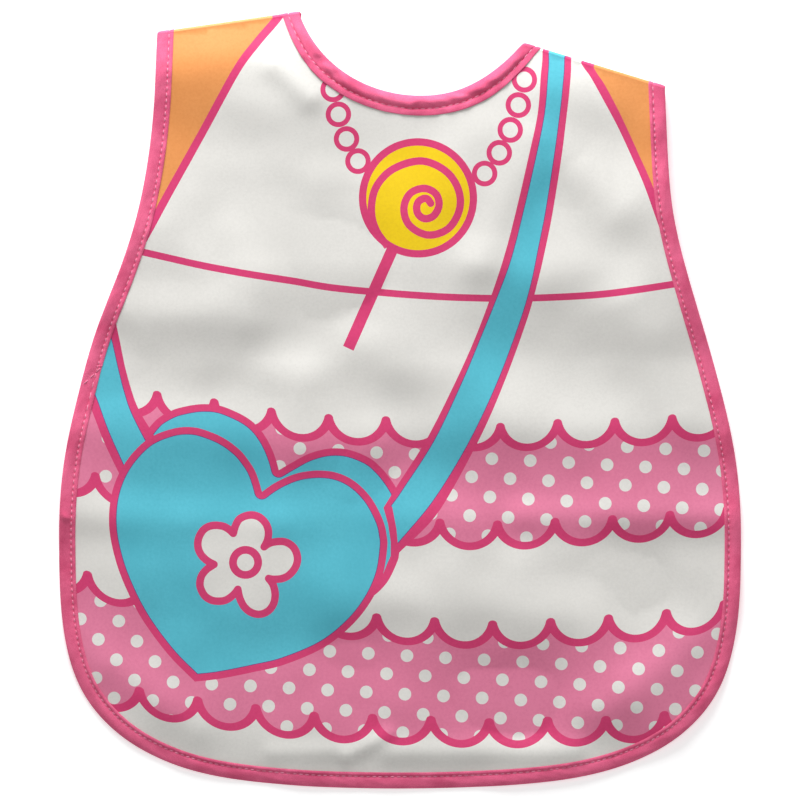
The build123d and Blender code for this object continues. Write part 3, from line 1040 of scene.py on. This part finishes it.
class Roll:
    """A half turn of the cloth about a fold: the upper layer turns outwards and under. Its
    printed side is outside when printed is 1 and inside when it is -1."""

    def __init__(self, fold, upper, lower, printed):
        self.start, self.end = fold[0], fold[-1]
        self.along = unit(self.end - self.start)
        self.outward = -left_of(self.along)
        self.radius = (upper - lower) / 2
        self.centre = (upper + lower) / 2
        self.printed = printed
        self.turn = np.linspace(0, math.pi, ROLL_POINTS)

    def swept(self, upper, lower):
        """The solid swept by a section that lies along the fold and changes from the upper
        layer's section to the lower layer's; a section is its places and its rises."""
        rows = []
        for angle in self.turn:
            share = angle / math.pi
            places = upper[0] * (1 - share) + lower[0] * share
            reach = self.radius + self.printed * (upper[1] * (1 - share) + lower[1] * share)
            flat = places + (reach * math.sin(angle))[:, None] * self.outward
            rows.append(np.column_stack([flat, self.centre + reach * math.cos(angle)]))
        return np.vstack(rows), skin(len(rows), len(places))

    def cloth(self, name, items):
        length = np.linalg.norm(self.end - self.start)
        steps = np.linspace(TAPE, length - TAPE, int(2 * length))
        there = self.start + steps[:, None] * self.along
        places = np.vstack([there, there[::-1]])
        rises = np.concatenate([np.full(len(steps), FACE_TOP), np.full(len(steps), BACKING_BOTTOM)])
        points, faces = self.swept((places, rises), (places, rises))
        middles = self.start + ((steps[1:] + steps[:-1]) / 2)[:, None] * self.along
        shown = list(colours_at(middles, items))
        hidden = [WHITE] * len(shown) if self.printed > 0 else shown[::-1]
        row = shown + [WHITE] + hidden + [WHITE]
        colours = row * (len(self.turn) - 1) + [WHITE] * 2
        piece = new_piece(name, points, faces, "printed_fabric", colours, sharp=65)
        return outward_facing(piece)

    def binding(self, name, corner, upper_tapes, lower_tapes):
        """The tape that turns over at a corner of the panel."""
        sections = []
        for tapes in (upper_tapes, lower_tapes):
            ends = [(tape, index) for tape in tapes for index in (0, -1)]
            tape, index = min(ends, key=lambda end: np.linalg.norm(end[0].edge.line[end[1]] - corner))
            depth, rise = tape_section(tape.width, tape.seam)[:2]
            sections.append((tape.place(np.full(len(depth), tape.edge.along[index]), depth), rise))
        points, faces = self.swept(*sections)
        piece = new_piece(name, points, faces, "binding_tape", sharp=65)
        return outward_facing(piece)

    def blended(self, piece, upper_body, lower_body, node_name):
        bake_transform(piece)
        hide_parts(node_name)


def outward_facing(piece):
    """Turns the faces of a closed piece to face outwards."""
    mesh = piece.data
    volume = 0.0
    for face in mesh.polygons:
        corners = [mesh.vertices[i].co for i in face.vertices]
        for b, c in zip(corners[1:], corners[2:]):
            volume += corners[0].dot(b.cross(c))
    if volume < 0:
        mesh.flip_normals()
    return piece


# ---- the front panel

def by_length(parts):
    return sorted(parts, key=lambda line: -length_along(line)[-1])


def neighbours(parts, line):
    """The directions of the stretches before and after one."""
    index = [i for i, part in enumerate(parts) if part is line][0]
    before, after = parts[index - 1], parts[(index + 1) % len(parts)]
    return unit(before[-1] - before[0]), unit(after[-1] - after[0])


def whole_outline(parts):
    return np.vstack([resample(curve(part), OUTLINE_STEP)[:-1] for part in parts])


def panel(body, cloth_name, parts, items, level, side, backing_grid):
    """The printed cloth and the backing of a body."""
    outline = whole_outline(parts)
    cloth = cloth_layer(cloth_name, outline, items, CLOTH_GRID, level, side, FACE_TOP, FACE_BOTTOM,
                        "printed_fabric")
    backing = cloth_layer(body + "_backing", outline, [], backing_grid, level, side, BACKING_TOP,
                          BACKING_BOTTOM, "waterproof_backing")
    stand_in(cloth, body, body + "_face_fabric")
    stand_in(backing, body, body + "_waterproof_backing")
    return cloth, backing


front_parts = stretches("front_face_fabric")
side_line, neck_line, right_fold, left_fold = by_length(front_parts)
FRONT_FOLDS = [left_fold, right_fold]

join_low, join_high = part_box("binding_join_thread")
join_place = np.array([(join_low.x + join_high.x) / 2, (join_low.y + join_high.y) / 2]) / MM
join_line = unit(np.array([join_high.x - join_low.x, join_high.y - join_low.y]))
before_side, after_side = neighbours(front_parts, side_line)
smooth_side = resample(curve(side_line), STATION)
cut = int(np.argmin(np.linalg.norm(smooth_side - join_place, axis=1)))

armhole_edge = Edge(smooth_side[:cut + 1], before_side, join_line)
hem_edge = Edge(smooth_side[cut:], join_line, after_side)
neck_edge = Edge(neck_line, *neighbours(front_parts, neck_line))

front_panel = panel("front", "printed_front", front_parts, over(front_print()), height, 1, CLOTH_GRID)

neck_pinches = [(60.0, 0.9, 2.4, 0.9), (74.0, -0.8, 3.2, 0.8), (104.0, 1.2, 2.6, 1.0),
                (110.0, 0.9, 1.6, -1.2), (30.0, -0.7, 3.0, 0.8)]
side_look = {"crown": 0.4, "ridge": 0.35, "pucker": 0.2}
neck_tape = Binding("neck", "front", neck_edge, height, 1, 2.0, NECK_BINDING_WIDTH, NECK_SEAM,
                    crown=1.1, ridge=0.75, pucker=0.7, pinches=neck_pinches)
armhole_tape = Binding("left_armhole", "front", armhole_edge, height, 1, 4.0, **side_look)
hem_tape = Binding("hem", "front", hem_edge, height, 1, 6.0, pinches=[(64.5, 0.4, 1.8, 1.2)],
                   **side_look)


def join_stitches():
    """Three stitches along the cut where the two ends of the tape are joined."""
    parts = []
    count = len(JOIN_RISE)
    for share in (0.16, 0.44, 0.72):
        depths = np.linspace(share, share + 0.22, count) * BINDING_WIDTH
        place = hem_edge.at(np.zeros(count), depths)
        z = height(place[:, 0], place[:, 1]) + (TAPE_TOP + JOIN_RISE)
        parts.append(tube(np.column_stack([place, z]), JOIN_RADIUS, THREAD_SIDES))
    stand_in(thread_piece("binding_join_stitches", parts), "front", "binding_join_thread")


join_stitches()


# ---- the straps

def strap_panel(body, parts, items, level, side):
    cloth_name = body + "_printed_cloth"
    return panel(body, cloth_name, parts, items, at_level(level), side, STRAP_BACKING_GRID)


left_parts = stretches("left_strap_face_fabric")
arm_line, left_neck_line = by_length(left_parts)[:2]
right_parts = stretches("right_strap_face_fabric")
right_line = by_length(right_parts)[0]
end_parts = stretches("strap_end_face_fabric")
end_line = by_length(end_parts)[0]
end_fold = by_length(end_parts)[1]

left_items = over(strap_print(), left_fold)
right_items = over(strap_print(), right_fold)
end_items = over(strap_print(), left_fold, end_fold)

left_panel = strap_panel("left_strap", left_parts, left_items, STRAP_LEVEL, -1)
right_panel = strap_panel("right_strap", right_parts, right_items, STRAP_LEVEL, -1)
end_panel = strap_panel("strap_end", end_parts, end_items, END_LEVEL, 1)


def strap_tape(name, body, parts, line, level, side, seed):
    return Binding(name, body, Edge(line, *neighbours(parts, line)), at_level(level), side, seed)


arm_tape = strap_tape("left_strap_arm", "left_strap", left_parts, arm_line, STRAP_LEVEL, -1, 11.0)
left_neck_tape = strap_tape("left_strap_neck", "left_strap", left_parts, left_neck_line,
                            STRAP_LEVEL, -1, 13.0)
right_tape = strap_tape("right_strap", "right_strap", right_parts, right_line, STRAP_LEVEL, -1, 15.0)
end_tape = strap_tape("strap_end", "strap_end", end_parts, end_line, END_LEVEL, 1, 17.0)
front_tapes, left_tapes = [neck_tape, armhole_tape, hem_tape], [arm_tape, left_neck_tape]


# ---- the folds

def fold_pieces(name, roll, items, words, upper_tapes, lower_tapes, upper_body, lower_body):
    """The cloth and the tapes where a panel turns over into the next."""
    made = [roll.cloth(name + "_cloth", items)]
    for word, corner in zip(words, (roll.start, roll.end)):
        made.append(roll.binding(name + "_" + word + "_tape", corner, upper_tapes, lower_tapes))
    for piece in made:
        roll.blended(piece, upper_body, lower_body, name)
    return made


left_roll = Roll(left_fold, SHOULDER_LEVEL, STRAP_LEVEL, 1)
right_roll = Roll(right_fold, SHOULDER_LEVEL, STRAP_LEVEL, 1)
end_roll = Roll(end_fold, STRAP_LEVEL, END_LEVEL, -1)
left_roll_pieces = fold_pieces("left_shoulder_fold", left_roll, over(strap_print()), ("neck", "arm"),
                               front_tapes, left_tapes, "front", "left_strap")
right_roll_pieces = fold_pieces("right_shoulder_fold", right_roll, over(strap_print()), ("arm", "neck"),
                                front_tapes, [right_tape], "front", "right_strap")
end_roll_pieces = fold_pieces("strap_end_fold", end_roll, left_items, ("lower", "upper"),
                              left_tapes, [end_tape], "left_strap", "strap_end")


# ---- hook and loop tapes

# Thickness of a fastener's ground, how far in from its edge it is sewn on, and how far the
# middle of the sewing thread lies off the ground.
FASTENER_GROUND = 0.42
SEAM_INSET = 1.7
SEAM_RISE = 0.12


def fastener_ground(node_name, top):
    """The woven ground of a hook tape or a loop tape."""
    places, faces = triangles(top_outline(node_name), [], FASTENER_GRID)
    count = len(places)
    points = np.vstack([np.column_stack([places, np.full(count, level)])
                        for level in (top, top - FASTENER_GROUND)])
    return new_piece(node_name + "_ground", points, closed_layer(faces, count), node_name)


def inside_fastener(node_name, margin, pitch):
    """Rows of places inside a fastener's stitched square."""
    low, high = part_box(node_name)
    xs = np.arange(low.x / MM + margin, high.x / MM - margin, pitch)
    ys = np.arange(low.y / MM + margin, high.y / MM - margin, pitch)
    return [(x + pitch / 2 * (row % 2), y) for row, y in enumerate(ys) for x in xs]


def box_stitches(node_name, body):
    """Stitches in a square round a fastener."""
    level = levels(node_name)[1] - FASTENER_GROUND - SEAM_RISE
    low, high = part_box(node_name)
    x0, x1 = low.x / MM + SEAM_INSET, high.x / MM - SEAM_INSET
    y0, y1 = low.y / MM + SEAM_INSET, high.y / MM - SEAM_INSET
    square = [np.array(corner) for corner in ((x0, y0), (x1, y0), (x1, y1), (x0, y1))]
    parts = []
    for a, b in zip(square, square[1:] + square[:1]):
        count = int(round(np.linalg.norm(b - a) / STITCH_PITCH))
        for k in range(count):
            places = [a + (b - a) * (k + share) / count for share in (0.1, 0.3, 0.5, 0.7, 0.9)]
            parts.append(tube(np.column_stack([places, level + BOX_RISE]), BOX_RADIUS, THREAD_SIDES))
    stand_in(thread_piece(node_name + "_stitches", parts), body, node_name + "_thread")


def hooks(node_name, root):
    """Small nylon hooks that point down from a tape's ground."""
    parts = []
    for x, y in inside_fastener(node_name, margin=2.8, pitch=1.25):
        shape = [(0, 0), (0, -0.18), (0.04, -0.31), (0.16, -0.35), (0.25, -0.28), (0.27, -0.19)]
        hook = [(x + dx, y, root + dz) for dx, dz in shape]
        parts.append(tube(hook, radius=0.07, sides=5, normal=(0, 1, 0)))
    return merged(parts)


def loops(node_name, root):
    """A tangled pile of fine loops that hang from a tape's ground."""
    tangle = random.Random(5)
    parts = []
    for x, y in inside_fastener(node_name, margin=2.6, pitch=0.8):
        turn = tangle.uniform(0, math.pi)
        span, drop = tangle.uniform(0.3, 0.55), tangle.uniform(0.26, 0.40)
        shift = (tangle.uniform(-0.2, 0.2), tangle.uniform(-0.2, 0.2))
        arc = np.linspace(0, math.pi, 6)
        points = [(x + shift[0] - span * math.cos(a) * math.cos(turn),
                   y + shift[1] - span * math.cos(a) * math.sin(turn),
                   root - drop * math.sin(a)) for a in arc]
        across = (-math.sin(turn), math.cos(turn), 0)
        parts.append(tube(points, radius=0.06, sides=4, normal=across))
    return merged(parts)


for node_name, body, pile_word, pile in (("hook_tape", "strap_end", "_hooks", hooks),
                                         ("loop_tape", "right_strap", "_pile", loops)):
    top = levels(node_name)[1]
    stand_in(fastener_ground(node_name, top), body, node_name)
    pile_points, pile_faces = pile(node_name, top - FASTENER_GROUND)
    tufts = new_piece(node_name + pile_word, pile_points, pile_faces, node_name, sharp=80)
    stand_in(tufts, body, node_name)
box_stitches("hook_tape", "strap_end")
box_stitches("loop_tape", "right_strap")


# ---- floor, light and camera

def floor():
    """A white floor that glows a little, so that it is plain white around the bib."""
    size = 3.0
    mesh = bpy.data.meshes.new("floor")
    corners = [(-size, -size, 0), (size, -size, 0), (size, size, 0), (-size, size, 0)]
    mesh.from_pydata(corners, [], [(0, 1, 2, 3)])
    material = bpy.data.materials.new("floor_white")
    material.use_nodes = True
    shader = material.node_tree.nodes["Principled BSDF"]
    shader.inputs["Base Color"].default_value = linear(252, 252, 252)
    shader.inputs["Roughness"].default_value = 0.9
    shader.inputs["Specular IOR Level"].default_value = 0.1
    shader.inputs["Emission Color"].default_value = (1.0, 1.0, 1.0, 1.0)
    shader.inputs["Emission Strength"].default_value = 0.35
    mesh.materials.append(material)
    piece = bpy.data.objects.new("floor", mesh)
    bpy.context.collection.objects.link(piece)


def area_light(name, place, target, size, power):
    light = bpy.data.lights.new(name, "AREA")
    light.shape = "SQUARE"
    light.size = size
    light.energy = power
    lamp = bpy.data.objects.new(name, light)
    lamp.location = place
    lamp.rotation_euler = (Vector(target) - Vector(place)).to_track_quat("-Z", "Y").to_euler()
    bpy.context.collection.objects.link(lamp)


floor()
area_light("window", (-0.18, 1.00, 0.38), target=(0, 0.05, 0), size=0.6, power=16.5)
area_light("ceiling", (0.2, 0.3, 1.9), target=(0, 0, 0), size=1.4, power=6.0)
world = bpy.data.worlds.new("studio")
world.use_nodes = True
world.node_tree.nodes["Background"].inputs["Color"].default_value = (1.0, 1.0, 1.0, 1.0)
world.node_tree.nodes["Background"].inputs["Strength"].default_value = 0.37
bpy.context.scene.world = world
bpy.context.scene.view_settings.view_transform = "Standard"

# The camera looks down from far off with a long lens, leaning a little towards the neck. The view
# is VIEW_WIDTH metres wide.
VIEW_WIDTH = 0.3896
VIEW_CENTRE_Y = 0.0007
VIEW_TILT = math.radians(6)
camera_data = bpy.data.cameras.new("camera")
camera_data.lens = 1000.0
camera_data.sensor_width = 36.0
camera = bpy.data.objects.new("camera", camera_data)
distance = VIEW_WIDTH * camera_data.lens / camera_data.sensor_width
camera.location = (0.0, VIEW_CENTRE_Y + distance * math.sin(VIEW_TILT), distance * math.cos(VIEW_TILT))
camera.rotation_euler = (-VIEW_TILT, 0.0, 0.0)
bpy.context.collection.objects.link(camera)
bpy.context.scene.camera = camera
